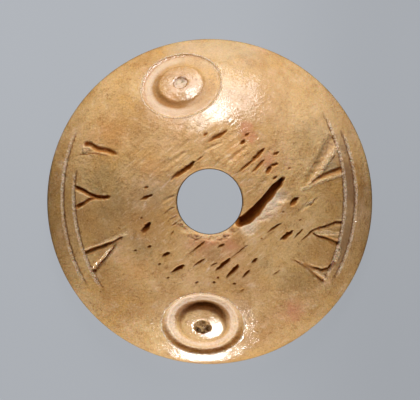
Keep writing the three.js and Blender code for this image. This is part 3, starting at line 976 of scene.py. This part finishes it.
def boneMaterial():
    shade = Shader("bone")
    tone = {name: linear(value) for name, value in boneLook.items() if isinstance(value, tuple)}
    place, along, shaken = bonePlaces(shade)
    noises = {name: shade.noise(place, *how) for name, how in boneNoises.items()}
    noises["fibre"] = shade.noise(along, *boneFibre["noise"])
    crumbs = noises["crumbs"]
    gaps, share = markPlaces(shade, shaken)

    colour = plainTones(shade, tone, noises)
    colour, lip, turned = ringTones(shade, tone, noises, colour, gaps, share)
    colour, bright = borderTones(shade, tone, noises, colour, shaken)
    # Painted shade in the cuts, and pale crumbs beside them that are partly painted highlight; below, pale
    # crumbs in the lines and on the lips, partly painted highlight, and painted shade in the pores and the
    # crack
    shadedCut = shade.product(shade.field("cutShade"), shade.range(crumbs, 0.4, 0.6, 1.0, 0.7))
    chipped = shade.product(shade.field("chips"), shade.range(crumbs, 0.38, 0.54, 0.15, 0.85))
    # Painted shade in the pores and the crack
    dark = shade.range(shade.field("cavityShade"), 0.05, 0.6)
    crumbled = shade.most(bright, lip)
    for part, name in ((shadedCut, "shadedCut"), (chipped, "crumbAndGlint"), (crumbled, "pale"), (dark, "cavityShade")):
        colour = shade.mix(part, colour, tone[name])
    colour, topDot, lowDot = dotTones(shade, tone, noises, colour, gaps)
    under = shade.field("under")
    colour = shade.mix(shade.product(under, shade.range(noises["cells"], 0.5, 0.66)), colour, tone["umber"])

    # The dull parts have no polish
    worn = shade.most(crumbled, chipped)
    ringFloor = shade.product(shade.field("ringFace"), partShares["ringFloorDull"])
    ringFloor = shade.product(ringFloor, shade.range(share, 0.04, 0.2), shade.range(share, 0.96, 0.8))
    fields = [shade.field(name) for name in ("crevice", "shelf", "poreEdges")]
    dull = shade.most(topDot, lowDot, dark, worn, shadedCut, ringFloor, under, *fields)
    dull = shade.most(dull, shade.range(shade.field("spongy"), 0.45, 0.9, 0, 0.45))
    rough = shade.range(noises["speck"], 0.3, 0.7, boneLook["leastRoughness"], boneLook["mostRoughness"])
    rough = shade.total(rough, shade.product(dull, boneLook["dullRoughness"]))
    ringCoat = shade.product(ringFloor, boneLook["ringCoatRoughness"])
    glow = shade.product(shadedCut, partShares["carvedGlow"])
    normal, gloss = boneRelief(shade, noises, worn, turned)
    surface = shade.add("BsdfPrincipled", {
        "Base Color": colour,
        "Roughness": rough,
        "Normal": normal,
        "IOR": boneLook["refraction"],
        "Specular IOR Level": boneLook["specular"],
        "Subsurface Weight": shade.total(glow, boneLook["translucence"]),
        "Subsurface Scale": 1.0,
        "Subsurface Radius": boneLook["scatter"],
        "Coat Weight": shade.range(dull, 0, 0.55, boneLook["coat"], 0),
        "Coat IOR": boneLook["coatRefraction"],
        "Coat Roughness": shade.total(ringCoat, boneLook["coatRoughness"]),
        "Coat Normal": gloss,
    })
    shade.tree.links.new(surface.outputs[0], shade.output.inputs["Surface"])
    return shade.material


def makeWhorl():
    points, faces = bodyMesh()
    points, fields = sinkBody(points)
    whorl = makeMesh("whorlBone", points, faces, fields)
    whorl.data.materials.append(boneMaterial())
    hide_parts("whorl")
    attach(whorl, "root")
    print("whorl:", len(points), "points,", len(faces), "triangles")


makeWhorl()

# Floor: a plain grey sheet that mostly glows, so that the shadows on it stay faint. Its light changes
# over the distance that it fades in, in metres from the whorl's middle.
floorLook = {
    "half": 1.5,
    "colour": (0.673, 0.689, 0.712),
    "glow": 0.985,
    "fades": 0.022,
    "rightFall": 0.12,
    "upRise": 1.6,
    "paper": (0.03, 0.03, 0.032, 1),
}


def makeFloor():
    half = floorLook["half"]
    mesh = bpy.data.meshes.new("floor")
    corners = [(-half, -half, 0), (half, -half, 0), (half, half, 0), (-half, half, 0)]
    mesh.from_pydata(corners, [], [(0, 1, 2, 3)])
    floor = bpy.data.objects.new("floor", mesh)
    bpy.context.scene.collection.objects.link(floor)
    shade = Shader("floorPaper")
    colour = linear(floorLook["colour"])
    place = shade.add("SeparateXYZ", {"Vector": shade.add("TexCoord").outputs["Object"]})
    near, glow = floorLook["fades"], floorLook["glow"]
    right = shade.range(place.outputs["X"], 0, near, glow, glow - floorLook["rightFall"])
    up = shade.range(place.outputs["Y"], -near, near, -near, near)
    up = shade.math("MULTIPLY", up, floorLook["upRise"])
    strength = shade.math("ADD", right, up)
    light = shade.add("Emission", {"Color": colour, "Strength": strength})
    paper = shade.add("BsdfDiffuse", {"Color": floorLook["paper"]})
    both = shade.add("AddShader")
    shade.tree.links.new(light.outputs[0], both.inputs[0])
    shade.tree.links.new(paper.outputs[0], both.inputs[1])
    shade.tree.links.new(both.outputs[0], shade.output.inputs["Surface"])
    mesh.materials.append(shade.material)
    floor.visible_diffuse = False  # the whorl gets no light back from the sheet
    floor.visible_glossy = False


makeFloor()

# Studio: a broad and a small soft box from the top of the picture, and a raking one from the bottom
studio = {
    "distance": 0.6,
    "boxes": [
        {"azimuth": 91, "elevation": 21, "width": 0.5, "height": 0.3, "watts": 2.95},
        {"azimuth": 88, "elevation": 39, "width": 0.15, "height": 0.18, "watts": 2.0},
        {"azimuth": 270, "elevation": 5.5, "width": 0.17, "height": 0.11, "watts": 4.5},
    ],
    "ambient": (0.024, 0.020, 0.015),
}
camera = {
    "distance": 0.42,
    "pixelsPerMm": 8.553,
    "pictureWidth": 420,
    "sensor": 36,
    "seen": 1.6,
    "aside": 0.035,
    "above": 0.175,
}


def makeLights():
    for i, box in enumerate(studio["boxes"]):
        lamp = bpy.data.lights.new("softbox%d" % i, "AREA")
        lamp.shape = "RECTANGLE"
        lamp.size = box["width"]
        lamp.size_y = box["height"]
        lamp.energy = box["watts"]
        made = bpy.data.objects.new(lamp.name, lamp)
        azimuth, elevation = math.radians(box["azimuth"]), math.radians(box["elevation"])
        made.location = (
            studio["distance"] * math.cos(elevation) * math.cos(azimuth),
            studio["distance"] * math.cos(elevation) * math.sin(azimuth),
            studio["distance"] * math.sin(elevation),
        )
        made.rotation_euler = (math.pi / 2 - elevation, 0, azimuth + math.pi / 2)
        bpy.context.scene.collection.objects.link(made)
    world = bpy.data.worlds.new("studio")
    world.use_nodes = True
    world.node_tree.nodes["Background"].inputs["Color"].default_value = (*studio["ambient"], 1)
    bpy.context.scene.world = world


def makeCamera():
    # Straight above the bore. The lens gives the scale at the height seen at the rim: pixels per
    # millimetre times the way from the camera to it, times the sensor's width over the picture's.
    lens = bpy.data.cameras.new("camera")
    lens.sensor_width = camera["sensor"]
    away = camera["distance"] / mm - camera["seen"]
    lens.lens = camera["pixelsPerMm"] * away * lens.sensor_width / camera["pictureWidth"]
    made = bpy.data.objects.new("camera", lens)
    made.location = (camera["aside"] * mm, camera["above"] * mm, camera["distance"])
    bpy.context.scene.collection.objects.link(made)
    bpy.context.scene.camera = made


makeLights()
makeCamera()
bpy.context.scene.view_settings.view_transform = "Standard"
print("floor, lights and camera ready")
